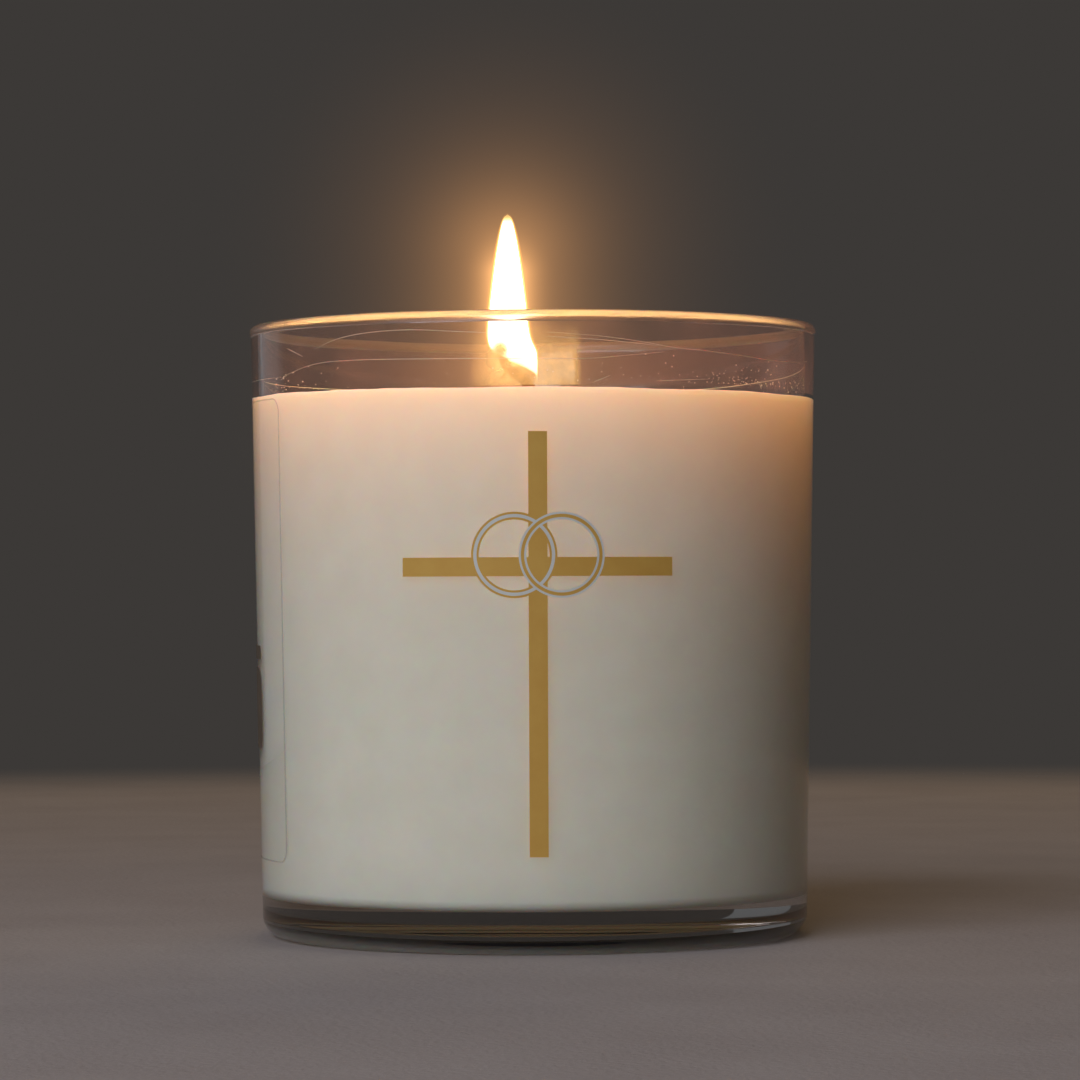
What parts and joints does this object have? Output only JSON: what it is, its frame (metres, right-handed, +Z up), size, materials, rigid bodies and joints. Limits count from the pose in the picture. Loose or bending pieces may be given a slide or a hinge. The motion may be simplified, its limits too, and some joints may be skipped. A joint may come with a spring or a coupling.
{
  "type": "unity candle",
  "caption": "Lit wedding unity candle: wax poured in a clear glass tumbler, printed in front with a gold cross and linked rings, with a clear label at the side.",
  "frame": {"origin": "centre of the tumbler's underside, on the surface it stands on", "axes": "+Z up along the tumbler's axis; the printed front faces -Y; +X is to the right of someone facing it"},
  "size_m": [0.0826, 0.0826, 0.1053],
  "materials": {
    "clear_glass": "polished",
    "ivory_wax": "satin",
    "melted_wax": "gloss",
    "adhesive_disc": "matte",
    "tinned_steel": "satin",
    "cotton_braid": "matte",
    "paper_core": "matte",
    "charred_cotton": "matte",
    "gold_print": "satin",
    "silver_print": "satin",
    "clear_film": "gloss",
    "label_ink": "satin",
    "flame_glow": "matte"
  },
  "bodies": {
    "root": {"glass_tumbler": "clear_glass", "wax_fill": "ivory_wax", "melt_pool": "melted_wax", "wick_sticker": "adhesive_disc", "wick_sustainer": "tinned_steel", "wick_braid": "cotton_braid", "wick_core": "paper_core", "charred_wick_end": "charred_cotton", "gold_cross": "gold_print", "left_ring_gold": "gold_print", "left_ring_silver": "silver_print", "right_ring_silver": "silver_print", "right_ring_gold": "gold_print", "clear_label": "clear_film", "label_print": "label_ink", "flame": "flame_glow"}
  },
  "joints": []
}
